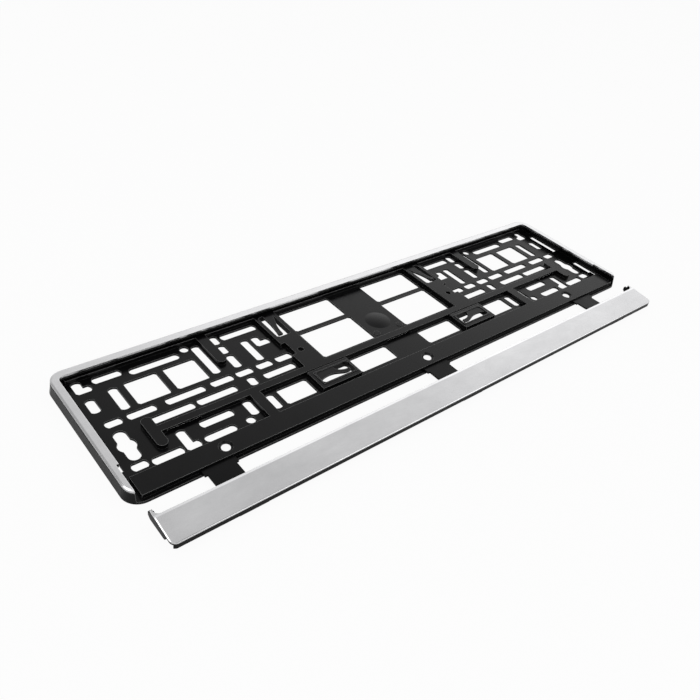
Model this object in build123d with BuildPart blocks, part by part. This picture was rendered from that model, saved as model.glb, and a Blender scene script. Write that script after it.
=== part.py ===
"""Number plate holder: slotted base with a bright frame, and a lower strip that slides in to close it.

Millimetres. X runs along the plate, Y to the top edge, Z out of the front. The back lies on Z = 0.
"""
from build123d import *
import os
from math import atan, degrees

# Number plate and pocket
plate_length = 520.0
plate_end_gap = 2.8
base_height = 132.4
rim_wall = 3.2
corner_radius = 12.5
wall_lean = 1.2

# Heights through the base
floor_thick = 1.7
bar_rise = 3.4
skin = 1.6
plate_room = 2.3
lip_thick = 1.6
trim_thick = 1.5
trim_skirt = 0.7
trim_groove = 0.3

# Lip and bright frame
lip_reach_end = 4.3
lip_reach_top = 4.9
lip_corner = 4.5
front_step = 1.7
trim_inset = 1.4
skirt_thick = 1.0
trim_fit = 0.15
trim_bevel_in = 1.2
trim_bevel_down = 0.5

# Layout that the slots and bars are drawn for
layout_length = 520.0
layout_height = 132.4

# Front platform and raised bars
ledge_depth = 2.9
platform_depth = 17.3
platform_end_gap = 0.8
bar_wall = 1.6
cross_bar_y = -17.2
cross_bar_width = 6.0
end_bar = (224.5, -18.0, 30.0)
end_bar_width = 8.1
side_bar_x = 145.9
side_bar_width = 8.5
side_bar_low = 22.0
middle_bar_in = 75.7
middle_bar_out = 95.7
middle_bar_relief = 3.9
relief_low = 2.0
relief_high = 18.0
top_ledge = 5.6
ledge_groove = 2.4

# Spring windows in the middle bars and in the boxes beside them
spring_window = (85.75, 41.1, 13.5, 29.6)
box_frame = (79.6, -32.0, 38.2, 21.2)
box_window = (78.75, -31.75, 31.5, 12.5)
box_lip_width = 1.2
box_lip_rise = 0.6
nub_radius = 1.8
nub_rise = 0.8
nub_at = (88.2, 30.4)
# Edges of the springs in one half, from the root to the free end and back
upper_spring_out = [(88.0, 57.0), (88.0, 43.7), (89.2, 33.6), (90.2, 28.6)]
upper_spring_in = [(86.0, 28.6), (85.6, 33.7), (83.6, 41.7), (80.2, 50.0), (78.6, 57.0)]
box_spring_low = [(95.5, -34.6), (91.9, -33.0), (83.9, -32.0), (78.8, -33.0), (75.0, -34.6), (66.0, -35.2)]
box_spring_high = [(66.0, -32.6), (72.6, -31.8), (76.0, -29.4), (77.4, -24.6)]
box_spring_root = (95.5, -24.6)

# Slots and holes of one half, as centre x, centre y, then length
slot_width = 7.0
slot_bow = 1.7
mount_slots = [(190.0, 48.3, 40.6), (186.0, -39.8, 25.0)]
slots_along = [
    (226.0, 52.0, 22.0),
    (114.7, 51.0, 33.0),
    (242.2, 6.2, 12.4),
    (221.4, 6.2, 21.7),
    (187.3, 6.4, 31.7),
    (156.8, 6.6, 19.0),
    (137.2, 6.6, 14.5),
    (119.0, 6.6, 14.1),
    (101.0, 6.6, 14.9),
    (203.4, -5.6, 33.1),
    (168.0, -5.4, 33.0),
    (112.7, -5.2, 28.8),
    (181.0, -26.0, 26.8),
    (244.9, -37.9, 11.6),
    (225.7, -39.8, 22.8),
]
slots_across = [
    (154.7, 34.1, 37.2),
    (137.0, 50.9, 10.8),
    (137.0, 38.0, 10.7),
    (137.0, 22.0, 16.5),
    (117.3, 26.4, 27.9),
    (247.0, 28.0, 15.3),
    (228.6, 26.6, 25.5),
    (137.4, -5.0, 10.1),
    (154.6, -28.8, 16.0),
    (136.6, -32.0, 16.4),
]
# Angled slots, as outer x, low y, leg length, foot length
angle_slots = [
    (251.5, 43.3, 13.7, 12.0),
    (111.0, 27.4, 12.9, 13.0),
    (212.7, -43.3, 20.5, 11.3),
]
round_holes = [(162.9, 52.7), (161.5, -39.5)]
keyhole = (243.9, -17.5, 30.0)
keyhole_width = 9.0
keyhole_bulge = 13.0
# Windows, as centre x, centre y, width, height
window_corner = 1.5
windows = [
    (206.8, 26.7, 25.8, 26.1),
    (175.4, 27.0, 26.4, 26.1),
    (115.5, -31.6, 27.3, 17.3),
    (38.2, -31.3, 39.0, 17.3),
    (45.5, 42.0, 53.4, 27.1),
    (45.3, 7.2, 54.1, 34.7),
]
# Windows beside the rim, as centre y, width, height
side_windows = [(-40.2, 3.8, 6.0), (-26.7, 6.5, 21.2), (26.1, 6.5, 33.8)]
side_window_gap = 0.8

# Screw holes on the platform, and the dome and marks on the floor
screw_pitch = 191.5
screw_y = -54.7
screw_radius = 3.0
sink_radius = 5.2
sink_angle = 100.0
peg_hole = (85.5, 4.8)
peg_radius = 2.5
dome_y = 7.5
dome_radius = 11.5
dome_rise = 1.2
ring_at = (13.0, -6.5)
ring_radius = 3.0
ring_rise = 0.35

# Lower strip, drawn pulled out as in the photograph
strip_width = 27.4
strip_travel = 42.4
strip_setback = 1.2
strip_end_gap = 0.6
strip_back_gap = 0.3
strip_over = 0.3
strip_plate = 1.2
strip_flare = 4.4
strip_corner = 4.5
cover_thick = 1.0
cover_nose = 0.9
nose_foot = 0.1
end_bevel_in = 0.6
end_bevel_down = 0.25
back_band = 2.0
back_drop = 0.5
face_inset = 0.2
strip_wall = 1.2
front_rise = 0.5
end_wall = 2.6
end_wall_setback = 8.4
end_wall_round = 2.5
run_gap = 0.3
hook_length = 2.5
hook_height = 3.0
hook_gap = 0.4

# Tongues of the strip
tongue_pitch = 203.0
tongue_width = 21.5
head_width = 25.5
tongue_thick = 1.4
tongue_rub = 0.2
head_gap = 0.4
tongue_grip = 3.0
head_shoulder = 2.8

# Worked-out places
pocket_half = plate_length / 2 + plate_end_gap
base_half = pocket_half + rim_wall
top_edge = base_height / 2
front_edge = -base_height / 2
pocket_top = top_edge - rim_wall
bar_top = floor_thick + bar_rise
skin_under = bar_top - skin
lip_under = bar_top + plate_room
lip_clear = lip_under - floor_thick
rim_top = lip_under + lip_thick
trim_top = rim_top + trim_thick
skirt_low = rim_top - trim_skirt
shoulder = skirt_low - trim_groove
lip_half = pocket_half - lip_reach_end
lip_top = pocket_top - lip_reach_top
front_half = lip_half + front_step
trim_half = base_half - trim_inset
trim_edge = top_edge - trim_inset
trim_radius = corner_radius - trim_inset
land_inset = skirt_thick + trim_fit
platform_front = front_edge + ledge_depth
platform_back = platform_front + platform_depth
ledge_low = pocket_top - top_ledge
ledge_half = lip_half - lip_corner
closed_front = front_edge + strip_setback
closed_tip = closed_front + strip_width
notch_y = closed_tip + strip_back_gap
strip_tip = closed_tip - strip_travel
strip_back = strip_tip - strip_flare
strip_front = closed_front - strip_travel
strip_half = front_half - strip_end_gap
platform_half = strip_half - end_wall - platform_end_gap
tip_under = trim_top - cover_thick - strip_plate
toe_under = bar_top + strip_over
strip_slope = (tip_under - toe_under) / (closed_tip - platform_front)
cover_low = trim_top - strip_slope * strip_width - cover_nose - nose_foot
band_front = strip_back - back_band
lip_back = strip_front + cover_thick
face_front = strip_front + face_inset
wall_back = face_front + strip_wall
front_low = floor_thick + front_rise
end_low = floor_thick + run_gap
end_front = strip_front + end_wall_setback
hook_end = strip_tip + hook_length
hook_top = lip_under - hook_gap
hook_low = hook_top - hook_height
tongue_low = floor_thick + tongue_rub
tongue_tip = platform_front + tongue_grip
mouth_width = head_width + 2 * head_gap
leg_back = platform_front - strip_travel - tongue_rub


def along(x):
    """Place along the plate, spread with the plate's length."""
    return x * plate_length / layout_length


def across(y):
    """Place across the plate, spread with the base's height."""
    return y * base_height / layout_height


def strip_top(y):
    """Height of the strip's sloping top at a place across it."""
    return trim_top - strip_slope * (strip_tip - y)


def strip_under(y):
    """Height of the underside of the strip's black plate."""
    return strip_top(y) - cover_thick - strip_plate


def bowed_slot(length):
    """Slot of the floor with bowed ends, lying along X about the origin."""
    end = length / 2
    corner = end - slot_bow
    half = slot_width / 2
    with BuildSketch(mode=Mode.PRIVATE) as slot:
        with BuildLine():
            right = ThreePointArc((corner, -half), (end, 0), (corner, half))
            left = ThreePointArc((-corner, half), (-end, 0), (-corner, -half))
            Line(right @ 1, left @ 0)
            Line(left @ 1, right @ 0)
        make_face()
    return slot.sketch


def cut_corner_window(width, height):
    """Window with its corners cut off, about the origin."""
    with BuildSketch(mode=Mode.PRIVATE) as window:
        Rectangle(width, height)
        chamfer(window.vertices(), window_corner)
    return window.sketch


sides = (-1, 1)
tongue_places = [(-along(tongue_pitch)), 0.0, along(tongue_pitch)]
screw_places = [(-along(screw_pitch)), 0.0, along(screw_pitch)]
cross_low = across(cross_bar_y) - cross_bar_width / 2
cross_high = across(cross_bar_y) + cross_bar_width / 2

# Base plate
with BuildPart() as base_plate:
    # Outer block with leaning walls, and the narrower land that carries the bright frame
    with BuildSketch():
        RectangleRounded(2 * base_half, base_height, corner_radius)
    extrude(amount=shoulder, taper=degrees(atan(wall_lean / shoulder)))
    with BuildSketch(Plane.XY.offset(shoulder)):
        RectangleRounded(
            2 * (trim_half - land_inset),
            2 * (trim_edge - land_inset),
            trim_radius - land_inset,
        )
    extrude(amount=rim_top - shoulder)

    # Pocket under the lip
    with BuildSketch(Plane.XY.offset(floor_thick)):
        RectangleRounded(2 * pocket_half, 2 * pocket_top, corner_radius - rim_wall)
    extrude(amount=lip_clear, mode=Mode.SUBTRACT)

    # Opening between the lips, wider in front where the strip goes
    with BuildSketch(Plane.XY.offset(lip_under)):
        with Locations((0, (lip_top + front_edge) / 2)):
            RectangleRounded(2 * lip_half, lip_top - front_edge, lip_corner)
    extrude(amount=lip_thick, mode=Mode.SUBTRACT)
    with BuildSketch(Plane.XY.offset(lip_under)):
        with Locations((0, (notch_y + front_edge) / 2)):
            Rectangle(2 * front_half, notch_y - front_edge)
    extrude(amount=lip_thick, mode=Mode.SUBTRACT)
    with BuildSketch(Plane.XY.offset(floor_thick)):
        with Locations((0, (platform_back + front_edge) / 2)):
            Rectangle(2 * front_half, platform_back - front_edge)
    extrude(amount=lip_clear, mode=Mode.SUBTRACT)

    # Raised platform, bars, boxes and top ledge
    with BuildSketch():
        with Locations((0, (platform_front + platform_back) / 2)):
            Rectangle(2 * platform_half, platform_depth)
        with Locations((0, across(cross_bar_y))):
            Rectangle(2 * along(end_bar[0]), cross_bar_width)
        with Locations((0, pocket_top - top_ledge / 2)):
            Rectangle(2 * ledge_half, top_ledge)
        for side in sides:
            with Locations((side * along(end_bar[0]), across(end_bar[1]))):
                SlotOverall(end_bar[2], end_bar_width, rotation=90)
            with Locations((side * along(side_bar_x), (platform_back + cross_low) / 2)):
                Rectangle(side_bar_width, cross_low - platform_back)
            with Locations((side * along(side_bar_x), (across(side_bar_low) + pocket_top) / 2)):
                SlotOverall(pocket_top - across(side_bar_low), side_bar_width, rotation=90)
            middle_x = along((middle_bar_in + middle_bar_out) / 2)
            with Locations((side * middle_x, (cross_high + ledge_low) / 2)):
                Rectangle(along(middle_bar_out - middle_bar_in), ledge_low - cross_high)
            with Locations((side * along(box_frame[0]), across(box_frame[1]))):
                Rectangle(along(box_frame[2]), box_frame[3])
    extrude(amount=bar_top)

    # Relief in the outer side of each middle bar, beside the slot
    with BuildSketch(Plane.XY.offset(floor_thick)):
        for side in sides:
            relief_x = along(middle_bar_out) - middle_bar_relief / 2
            with Locations((side * relief_x, across((relief_low + relief_high) / 2))):
                Rectangle(middle_bar_relief, relief_high - relief_low)
    extrude(amount=bar_rise, mode=Mode.SUBTRACT)

    # Raised lips round the box windows
    with BuildSketch(Plane.XY.offset(bar_top)):
        for side in sides:
            with Locations((side * along(box_window[0]), across(box_window[1]))):
                Rectangle(box_window[2] + 2 * box_lip_width, box_window[3] + 2 * box_lip_width)
    extrude(amount=box_lip_rise)

    # Hollows behind the platform and the bars
    with BuildSketch():
        with Locations((0, (platform_front + platform_back) / 2)):
            Rectangle(2 * (platform_half - bar_wall), platform_depth - 2 * bar_wall)
        with Locations((0, across(cross_bar_y))):
            Rectangle(2 * along(end_bar[0]), cross_bar_width - 2 * bar_wall)
        with Locations((0, pocket_top - top_ledge / 2)):
            Rectangle(2 * (ledge_half - bar_wall), ledge_groove)
        for side in sides:
            with Locations((side * along(end_bar[0]), across(end_bar[1]))):
                Rectangle(end_bar_width - 2 * bar_wall, end_bar[2] - end_bar_width)
            with Locations((side * along(side_bar_x), (platform_back + cross_low) / 2)):
                Rectangle(side_bar_width - 2 * bar_wall, cross_low - platform_back)
            side_hollow = ledge_low - across(side_bar_low) - side_bar_width
            with Locations((side * along(side_bar_x), (across(side_bar_low) + ledge_low) / 2)):
                Rectangle(side_bar_width - 2 * bar_wall, side_hollow)
    extrude(amount=skin_under, mode=Mode.SUBTRACT)

    # Slots, round holes and windows through the floor
    with BuildSketch():
        for side in sides:
            for x, y, length in mount_slots:
                with Locations((side * along(x), across(y))):
                    SlotOverall(length, slot_width)
            for x, y, length in slots_along:
                with Locations((side * along(x), across(y))):
                    add(bowed_slot(length))
            for x, y, length in slots_across:
                with Locations((side * along(x), across(y))):
                    add(bowed_slot(length), rotation=90)
            for x, y, leg, foot in angle_slots:
                with Locations((side * (along(x) - slot_width / 2), across(y) + leg / 2)):
                    add(bowed_slot(leg), rotation=90)
                with Locations((side * (along(x) - foot / 2), across(y) + slot_width / 2)):
                    add(bowed_slot(foot))
            for x, y in round_holes:
                with Locations((side * along(x), across(y))):
                    Circle(slot_width / 2)
            with Locations((side * along(keyhole[0]), across(keyhole[1]))):
                SlotOverall(keyhole[2], keyhole_width, rotation=90)
                Circle(keyhole_bulge / 2)
            for x, y, width, height in windows:
                with Locations((side * along(x), across(y))):
                    add(cut_corner_window(width, height))
            for y, width, height in side_windows:
                side_x = pocket_half - side_window_gap - width / 2
                with Locations((side * side_x, across(y))):
                    Rectangle(width, height)
            with Locations((side * along(peg_hole[0]), across(peg_hole[1]))):
                Circle(peg_radius)
    extrude(amount=bar_top, mode=Mode.SUBTRACT)

    # Windows round the spring tongues
    with BuildSketch():
        for side in sides:
            with Locations((side * along(spring_window[0]), across(spring_window[1]))):
                add(cut_corner_window(spring_window[2], spring_window[3]))
            with Locations((side * along(box_window[0]), across(box_window[1]))):
                add(cut_corner_window(box_window[2], box_window[3]))
    extrude(amount=bar_top + box_lip_rise, mode=Mode.SUBTRACT)

    # Countersunk screw holes in the platform
    with Locations(*[(x, across(screw_y), bar_top) for x in screw_places]):
        CounterSinkHole(screw_radius, sink_radius, depth=bar_top, counter_sink_angle=sink_angle)

    # Mouths and tunnels for the strip's tongues
    for x in tongue_places:
        with Locations((x, (front_edge + cross_high) / 2, (floor_thick + skin_under) / 2)):
            Box(mouth_width, cross_high - front_edge, skin_under - floor_thick, mode=Mode.SUBTRACT)

    # Dome and round marks on the floor
    with BuildSketch(Plane.XZ.offset(-across(dome_y))):
        with BuildLine():
            dome_arc = TangentArc((0, floor_thick + dome_rise), (dome_radius, floor_thick), tangent=(1, 0))
            Polyline(dome_arc @ 1, (0, floor_thick), dome_arc @ 0)
        make_face()
    revolve(axis=Axis((0, across(dome_y), 0), (0, 0, 1)))
    with BuildSketch(Plane.XY.offset(floor_thick)):
        for side in sides:
            with Locations((side * along(ring_at[0]), across(ring_at[1]))):
                Circle(ring_radius)
    extrude(amount=ring_rise)

    # Spring tongues, rooted in the window edge and free at the other end
    for side in sides:
        with BuildSketch(Plane.XY.offset(skin_under)):
            with BuildLine():
                outer = Spline(*[(side * along(x), across(y)) for x, y in upper_spring_out])
                inner = Spline(*[(side * along(x), across(y)) for x, y in upper_spring_in])
                Line(outer @ 1, inner @ 0)
                Line(inner @ 1, outer @ 0)
            make_face()
        extrude(amount=skin)
        with BuildSketch(Plane.XY.offset(skin_under)):
            with BuildLine():
                low = Spline(*[(side * along(x), across(y)) for x, y in box_spring_low])
                high = Spline(*[(side * along(x), across(y)) for x, y in box_spring_high])
                Line(low @ 1, high @ 0)
                Polyline(high @ 1, (side * along(box_spring_root[0]), across(box_spring_root[1])), low @ 0)
            make_face()
        extrude(amount=skin)
        with Locations((side * along(nub_at[0]), across(nub_at[1]), bar_top + nub_rise / 2)):
            Cylinder(nub_radius, nub_rise)
base_plate.part.label = "base_plate"

# Bright frame that caps the rim
with BuildPart() as chrome_frame:
    # Cap with its outer edge bevelled, then the opening in it
    with BuildSketch(Plane.XY.offset(rim_top)):
        RectangleRounded(2 * trim_half, 2 * trim_edge, trim_radius)
    extrude(amount=trim_thick)
    cap_top = chrome_frame.faces().sort_by(Axis.Z)[-1]
    chamfer(cap_top.edges(), length=trim_bevel_in, length2=trim_bevel_down, reference=cap_top)
    with BuildSketch(Plane.XY.offset(rim_top)):
        with Locations((0, (lip_top + 2 * front_edge) / 2)):
            RectangleRounded(2 * lip_half, lip_top - 2 * front_edge, lip_corner)
        with Locations((0, (notch_y + front_edge) / 2)):
            Rectangle(2 * front_half, notch_y - front_edge)
    extrude(amount=trim_thick, mode=Mode.SUBTRACT)
    # Skirt round the outside
    with BuildSketch(Plane.XY.offset(skirt_low)):
        RectangleRounded(2 * trim_half, 2 * trim_edge, trim_radius)
        RectangleRounded(
            2 * (trim_half - skirt_thick),
            2 * (trim_edge - skirt_thick),
            trim_radius - skirt_thick,
            mode=Mode.SUBTRACT,
        )
        with Locations((0, (notch_y + front_edge) / 2)):
            Rectangle(2 * front_half, notch_y - front_edge, mode=Mode.SUBTRACT)
    extrude(amount=trim_skirt)
chrome_frame.part.label = "chrome_frame"

# Outline of the lower strip from above: round front corners, and a back edge that flares out to two tips
with BuildSketch() as strip_plan:
    with Locations((0, strip_front + strip_width)):
        RectangleRounded(2 * strip_half, 2 * strip_width, strip_corner)
    with Locations((0, strip_back + 2 * lip_corner)):
        RectangleRounded(2 * lip_half, 4 * lip_corner, lip_corner, mode=Mode.SUBTRACT)

# Black carrier of the lower strip
with BuildPart() as strip_carrier:
    # Sloping plate and front wall
    with BuildSketch(Plane.YZ):
        with BuildLine():
            Polyline(
                (strip_tip, strip_top(strip_tip) - cover_thick),
                (lip_back, strip_top(lip_back) - cover_thick),
                (lip_back, cover_low),
                (face_front, cover_low),
                (face_front, front_low),
                (wall_back, front_low),
                (wall_back, strip_under(wall_back)),
                (strip_tip, strip_under(strip_tip)),
                close=True,
            )
        make_face()
    extrude(amount=strip_half, both=True)
    extrude(strip_plan.sketch, amount=trim_top, mode=Mode.INTERSECT)
    # End walls, each with a hook that runs in under the lip
    for end_x in (-strip_half, strip_half - end_wall):
        with BuildSketch(Plane.YZ.offset(end_x)) as end_profile:
            with BuildLine():
                Polyline(
                    (end_front, strip_under(end_front)),
                    (end_front, end_low),
                    (strip_tip, end_low),
                    (hook_end, hook_low),
                    (hook_end, hook_top),
                    (strip_tip, hook_top),
                    (strip_tip, strip_under(strip_tip)),
                    close=True,
                )
            make_face()
            fillet(end_profile.vertices().group_by(Axis.Y)[0].sort_by(Axis.X)[0], end_wall_round)
        extrude(amount=end_wall)
    # Tongues, each on a leg of the front wall
    tongue_mid = tongue_low + tongue_thick / 2
    shoulder_y = front_edge - head_shoulder
    for x in tongue_places:
        with Locations((x, (face_front + leg_back) / 2, (tongue_low + toe_under) / 2)):
            Box(tongue_width, leg_back - face_front, toe_under - tongue_low)
        with Locations((x, (face_front + shoulder_y) / 2, tongue_mid)):
            Box(tongue_width, shoulder_y - face_front, tongue_thick)
        with Locations((x, (shoulder_y + tongue_tip) / 2, tongue_mid)):
            Box(head_width, tongue_tip - shoulder_y, tongue_thick)
strip_carrier.part.label = "strip_carrier"

# Bright cover of the lower strip
with BuildPart() as chrome_strip:
    with BuildSketch(Plane.YZ):
        with BuildLine():
            Polyline(
                (strip_tip, strip_top(strip_tip)),
                (strip_front, strip_top(strip_front)),
                (strip_front, cover_low),
                (lip_back, cover_low),
                (lip_back, strip_top(lip_back) - cover_thick),
                (strip_tip, strip_top(strip_tip) - cover_thick),
                close=True,
            )
        make_face()
    extrude(amount=strip_half, both=True)
    nose_edge = chrome_strip.edges().filter_by(Axis.X).group_by(Axis.Y)[0].sort_by(Axis.Z)[-1]
    fillet(nose_edge, cover_nose)
    # Bevels down the ends, drawn square to the slope
    slope_plane = Plane(origin=(0, strip_tip, trim_top), x_dir=(1, 0, 0), z_dir=(0, 1, strip_slope))
    with BuildSketch(slope_plane):
        for side in sides:
            with BuildLine():
                Polyline(
                    (side * strip_half, 0),
                    (side * (strip_half - end_bevel_in), 0),
                    (side * strip_half, end_bevel_down),
                    close=True,
                )
            make_face()
    extrude(amount=-2 * strip_width, mode=Mode.SUBTRACT)
    # Lower band along the back edge
    with BuildSketch(Plane.YZ):
        with BuildLine():
            Polyline(
                (band_front, strip_top(band_front)),
                (strip_back, strip_top(strip_back) - back_drop),
                (strip_tip, strip_top(strip_tip) - back_drop),
                (strip_tip, trim_top),
                close=True,
            )
        make_face()
    extrude(amount=strip_half, both=True, mode=Mode.SUBTRACT)
    extrude(strip_plan.sketch, amount=trim_top, mode=Mode.INTERSECT)
chrome_strip.part.label = "chrome_strip"

os.makedirs("parts", exist_ok=True)
export_step(base_plate.part, "parts/base_plate.step")
export_step(chrome_frame.part, "parts/chrome_frame.step")
export_step(strip_carrier.part, "parts/strip_carrier.step")
export_step(chrome_strip.part, "parts/chrome_strip.step")
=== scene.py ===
import bpy
from mathutils import Matrix, Vector

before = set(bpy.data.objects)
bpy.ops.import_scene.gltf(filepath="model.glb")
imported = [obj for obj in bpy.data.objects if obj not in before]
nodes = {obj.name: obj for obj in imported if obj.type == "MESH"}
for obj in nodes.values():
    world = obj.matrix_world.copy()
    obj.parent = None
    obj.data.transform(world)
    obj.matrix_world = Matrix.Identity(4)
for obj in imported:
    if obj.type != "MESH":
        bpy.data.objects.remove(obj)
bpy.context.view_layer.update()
scene = bpy.context.scene

# Finishes: colours, and edge sizes in metres
DEEP_BLACK = (0.002, 0.002, 0.0022, 1.0)
SOFT_BLACK = (0.004, 0.004, 0.0043, 1.0)
# Painted highlight: near-white colour painted on the outer edges of the plating, and how far it reaches
PAINTED_EDGE_HIGHLIGHT = (0.97, 0.97, 0.97, 1.0)
MOULDED_EDGE = 0.0007
HIGHLIGHT_EDGE_REACH = 0.0006
RELIEF_DEPTH = 0.0001
EDGE_SAMPLES = 6
# An edge counts as open if nothing stands within this many times its own reach
OPEN_REACH = 3.0

# Floor and room, in metres and light levels where 1 is white
FLOOR_SIZE = 12.0
FLOOR_DROP = 0.0005
FLOOR_GREY = (0.8, 0.8, 0.8, 1.0)
FLOOR_SEEN_WHITE = 0.94
FLOOR_MIRRORED_WHITE = 0.15
WHITE = (1.0, 1.0, 1.0, 1.0)
FAR_SIDE = (0.75, 0.66, 0.0)
# How near a direction is to the far side, and the level of light from there
ROOM_LEVELS = (
    (0.0, 0.32), (0.2, 0.4), (0.36, 0.57), (0.45, 0.67), (0.52, 0.6),
    (0.61, 0.65), (0.68, 0.8), (0.76, 0.94), (0.83, 1.12), (0.95, 1.3),
)

# Camera at the photograph's angle: place in metres, image directions, lens in millimetres
CAMERA_PLACE = (-0.3785, -0.3376, 0.3565)
CAMERA_RIGHT = Vector((0.76477, -0.62991, 0.13540))
CAMERA_DOWN = Vector((-0.30778, -0.54180, -0.78213))
CAMERA_FORWARD = Vector((0.56603, 0.55648, -0.60823))
SENSOR_WIDTH = 36.0
LENS = 36.75
CLIP_NEAR = 0.01
CLIP_FAR = 50.0


# Node helpers
def new_tree(block, output_kind):
    """Give a material or world an empty node tree with its output node."""
    block.use_nodes = True
    tree = block.node_tree
    tree.nodes.clear()
    return tree, tree.nodes.new(output_kind)


def connect(tree, value, socket):
    """Link a node's output to a socket, or set the socket to a plain value."""
    if isinstance(value, bpy.types.NodeSocket):
        tree.links.new(value, socket)
    else:
        socket.default_value = value


def calculate(tree, operation, first, second):
    node = tree.nodes.new("ShaderNodeMath")
    node.operation = operation
    connect(tree, first, node.inputs[0])
    connect(tree, second, node.inputs[1])
    return node.outputs["Value"]


def dot_product(tree, first, second):
    node = tree.nodes.new("ShaderNodeVectorMath")
    node.operation = "DOT_PRODUCT"
    connect(tree, first, node.inputs[0])
    connect(tree, second, node.inputs[1])
    return node.outputs["Value"]


def noise(tree, scale, detail, rough=0.5, stretch=(1.0, 1.0, 1.0)):
    coords = tree.nodes.new("ShaderNodeTexCoord")
    mapping = tree.nodes.new("ShaderNodeMapping")
    mapping.inputs["Scale"].default_value = stretch
    texture = tree.nodes.new("ShaderNodeTexNoise")
    texture.inputs["Scale"].default_value = scale
    texture.inputs["Detail"].default_value = detail
    texture.inputs["Roughness"].default_value = rough
    tree.links.new(coords.outputs["Object"], mapping.inputs["Vector"])
    tree.links.new(mapping.outputs["Vector"], texture.inputs["Vector"])
    return texture.outputs["Fac"]


def ramp(tree, value, low, high, at_low=0.3, at_high=0.7):
    """Low where the value is at_low or less, high where it is at_high or more."""
    node = tree.nodes.new("ShaderNodeMapRange")
    node.inputs["From Min"].default_value = at_low
    node.inputs["From Max"].default_value = at_high
    node.inputs["To Min"].default_value = low
    node.inputs["To Max"].default_value = high
    tree.links.new(value, node.inputs["Value"])
    return node.outputs["Result"]


def blend(tree, factor, first, second):
    node = tree.nodes.new("ShaderNodeMix")
    node.data_type = "RGBA"
    connect(tree, first, node.inputs["A"])
    connect(tree, second, node.inputs["B"])
    tree.links.new(factor, node.inputs["Factor"])
    return node.outputs["Result"]


def rounded_normal(tree, radius):
    node = tree.nodes.new("ShaderNodeBevel")
    node.samples = EDGE_SAMPLES
    node.inputs["Radius"].default_value = radius
    return node.outputs["Normal"]


def relief(tree, shader, height, strength, edge):
    """Fine relief on faces whose edges are rounded by the radius edge."""
    node = tree.nodes.new("ShaderNodeBump")
    node.inputs["Strength"].default_value = strength
    node.inputs["Distance"].default_value = RELIEF_DEPTH
    tree.links.new(height, node.inputs["Height"])
    tree.links.new(rounded_normal(tree, edge), node.inputs["Normal"])
    tree.links.new(node.outputs["Normal"], shader.inputs["Normal"])


def outer_edges(tree, reach):
    """1 on outer edges, 0 on flat faces and in corners: where edge highlights are painted."""
    surface = tree.nodes.new("ShaderNodeNewGeometry")
    flatness = dot_product(tree, rounded_normal(tree, reach), surface.outputs["Normal"])
    space = tree.nodes.new("ShaderNodeAmbientOcclusion")
    space.samples = EDGE_SAMPLES
    space.inputs["Distance"].default_value = OPEN_REACH * reach
    on_edge = ramp(tree, flatness, 1.0, 0.0, at_low=0.8, at_high=0.96)
    in_open = ramp(tree, space.outputs["AO"], 0.0, 1.0, at_low=0.7, at_high=0.9)
    return calculate(tree, "MULTIPLY", on_edge, in_open)


def grey(level):
    return (level, level, level, 1.0)


# Finishes
def new_finish(name):
    mat = bpy.data.materials.new(name)
    tree, output = new_tree(mat, "ShaderNodeOutputMaterial")
    shader = tree.nodes.new("ShaderNodeBsdfPrincipled")
    tree.links.new(shader.outputs["BSDF"], output.inputs["Surface"])
    return mat, tree, shader


def black_plastic(name, roughness, gloss, edge_wear_and_highlight_level):
    """Black moulded plastic: fine mould grain, uneven sheen, outer edges painted lighter as a painted edge
    highlight with rubbed wear.
    """
    mat, tree, shader = new_finish(name)
    cloud = ramp(tree, noise(tree, scale=38.0, detail=4.0), 0.0, 1.0)
    moulded = blend(tree, cloud, DEEP_BLACK, SOFT_BLACK)
    # Painted edge highlight with rubbed wear: outer edges painted a lighter grey
    worn_and_highlit = blend(tree, outer_edges(tree, MOULDED_EDGE), moulded, grey(edge_wear_and_highlight_level))
    tree.links.new(worn_and_highlit, shader.inputs["Base Color"])
    sheen = ramp(tree, noise(tree, scale=110.0, detail=4.0, rough=0.55), *roughness)
    tree.links.new(sheen, shader.inputs["Roughness"])
    shader.inputs["Specular IOR Level"].default_value = gloss
    grain = noise(tree, scale=1900.0, detail=2.0)
    relief(tree, shader, grain, strength=0.05, edge=MOULDED_EDGE)
    return mat


def plating(name, dull, bright, roughness, edge):
    """Satin plating: mottled, brushed along X, outer edges painted brighter as a painted highlight."""
    mat, tree, shader = new_finish(name)
    shader.inputs["Metallic"].default_value = 1.0
    cloud = noise(tree, scale=30.0, detail=7.0, rough=0.68, stretch=(0.6, 1.0, 1.0))
    mottled = blend(tree, ramp(tree, cloud, 0.0, 1.0), dull, bright)
    # Painted highlight: outer edges of the plating painted near white
    highlit_colour = blend(tree, outer_edges(tree, HIGHLIGHT_EDGE_REACH), mottled, PAINTED_EDGE_HIGHLIGHT)
    tree.links.new(highlit_colour, shader.inputs["Base Color"])
    drag = noise(tree, scale=420.0, detail=4.0, rough=0.6, stretch=(0.12, 1.0, 1.0))
    tree.links.new(ramp(tree, drag, *roughness), shader.inputs["Roughness"])
    brushing = noise(tree, scale=900.0, detail=3.0, stretch=(0.2, 1.0, 1.0))
    relief(tree, shader, brushing, strength=0.02, edge=edge)
    return mat


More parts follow.
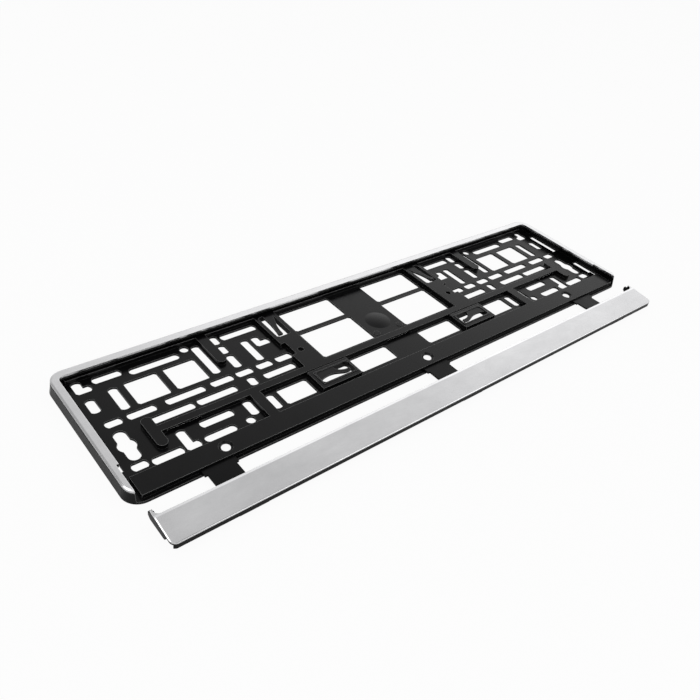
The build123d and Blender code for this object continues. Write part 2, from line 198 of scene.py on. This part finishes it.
# The last level sets how light the painted edge highlight and rubbed wear are
looks = {
    "base_plate": black_plastic("black_base_look", roughness=(0.18, 0.27), gloss=0.18, edge_wear_and_highlight_level=0.25),
    "strip_carrier": black_plastic("black_strip_look", roughness=(0.26, 0.38), gloss=0.13, edge_wear_and_highlight_level=0.01),
    "chrome_frame": plating(
        "bright_frame_look",
        dull=(0.69, 0.69, 0.70, 1.0),
        bright=(0.80, 0.80, 0.81, 1.0),
        roughness=(0.16, 0.24),
        edge=0.0004,
    ),
    "chrome_strip": plating(
        "bright_strip_look",
        dull=(0.72, 0.72, 0.73, 1.0),
        bright=(0.87, 0.87, 0.88, 1.0),
        roughness=(0.12, 0.22),
        edge=0.0002,
    ),
}
for node_name, look in looks.items():
    nodes[node_name].data.materials.clear()
    nodes[node_name].data.materials.append(look)


# Stage
def show_mixed(tree, output, factor, first, second):
    """Send a mix of two shaders to the output: all second where the factor is 1."""
    mix = tree.nodes.new("ShaderNodeMixShader")
    tree.links.new(factor, mix.inputs["Fac"])
    tree.links.new(first, mix.inputs[1])
    tree.links.new(second, mix.inputs[2])
    tree.links.new(mix.outputs["Shader"], output.inputs["Surface"])


def floor_look():
    """Near white to the camera, less so in the plating, and still taking the shadow."""
    mat = bpy.data.materials.new("floor_look")
    tree, output = new_tree(mat, "ShaderNodeOutputMaterial")
    pale = tree.nodes.new("ShaderNodeBsdfDiffuse")
    pale.inputs["Color"].default_value = FLOOR_GREY
    white = tree.nodes.new("ShaderNodeEmission")
    white.inputs["Color"].default_value = WHITE
    rays = tree.nodes.new("ShaderNodeLightPath")
    mirrored = calculate(tree, "MAXIMUM", rays.outputs["Is Glossy Ray"], rays.outputs["Is Transmission Ray"])
    seen_white = calculate(tree, "MULTIPLY", rays.outputs["Is Camera Ray"], FLOOR_SEEN_WHITE)
    mirrored_white = calculate(tree, "MULTIPLY", mirrored, FLOOR_MIRRORED_WHITE)
    shown = calculate(tree, "MAXIMUM", seen_white, mirrored_white)
    show_mixed(tree, output, shown, pale.outputs["BSDF"], white.outputs["Emission"])
    return mat


def make_room():
    """World: white to the camera, and to the object a grey room with a pale far side."""
    room = bpy.data.worlds.new("room")
    tree, output = new_tree(room, "ShaderNodeOutputWorld")
    coords = tree.nodes.new("ShaderNodeTexCoord")
    levels = tree.nodes.new("ShaderNodeValToRGB")
    stops = levels.color_ramp.elements
    stops[0].position = ROOM_LEVELS[0][0]
    stops[1].position = ROOM_LEVELS[-1][0]
    for nearness, _ in ROOM_LEVELS[1:-1]:
        stops.new(nearness)
    for stop, (_, level) in zip(stops, ROOM_LEVELS):
        stop.color = grey(level)
    tree.links.new(dot_product(tree, coords.outputs["Generated"], FAR_SIDE), levels.inputs["Fac"])
    walls = tree.nodes.new("ShaderNodeBackground")
    tree.links.new(levels.outputs["Color"], walls.inputs["Color"])
    white = tree.nodes.new("ShaderNodeBackground")
    white.inputs["Color"].default_value = WHITE
    rays = tree.nodes.new("ShaderNodeLightPath")
    is_camera = rays.outputs["Is Camera Ray"]
    show_mixed(tree, output, is_camera, walls.outputs["Background"], white.outputs["Background"])
    return room


def soft_box(name, place, aim, width, height, power):
    data = bpy.data.lights.new(name, "AREA")
    data.shape = "RECTANGLE"
    data.size = width
    data.size_y = height
    data.energy = power
    light = bpy.data.objects.new(name, data)
    light.location = place
    light.rotation_euler = (Vector(aim) - Vector(place)).to_track_quat("-Z", "Y").to_euler()
    scene.collection.objects.link(light)


bpy.ops.mesh.primitive_plane_add(size=FLOOR_SIZE, location=(0.0, 0.0, -FLOOR_DROP))
floor = bpy.context.object
floor.name = "floor"
floor.data.materials.append(floor_look())
scene.world = make_room()
soft_box("key_box", place=(-1.0, -0.5, 1.6), aim=(0.0, 0.0, 0.0), width=2.2, height=2.2, power=11.0)
soft_box("edge_box", place=(1.1, -1.35, 1.0), aim=(0.0, -0.05, 0.0), width=1.9, height=1.1, power=9.0)
soft_box("back_box", place=(-0.85, 0.5, 1.4), aim=(-0.26, -0.09, 0.0), width=0.5, height=0.5, power=2.0)

# Camera
camera_data = bpy.data.cameras.new("camera")
camera_data.sensor_width = SENSOR_WIDTH
camera_data.lens = LENS
camera_data.clip_start = CLIP_NEAR
camera_data.clip_end = CLIP_FAR
camera = bpy.data.objects.new("camera", camera_data)
turn = Matrix((CAMERA_RIGHT, -CAMERA_DOWN, -CAMERA_FORWARD)).transposed()
camera.matrix_world = Matrix.Translation(CAMERA_PLACE) @ turn.to_4x4()
scene.collection.objects.link(camera)
scene.camera = camera
scene.view_settings.view_transform = "Standard"
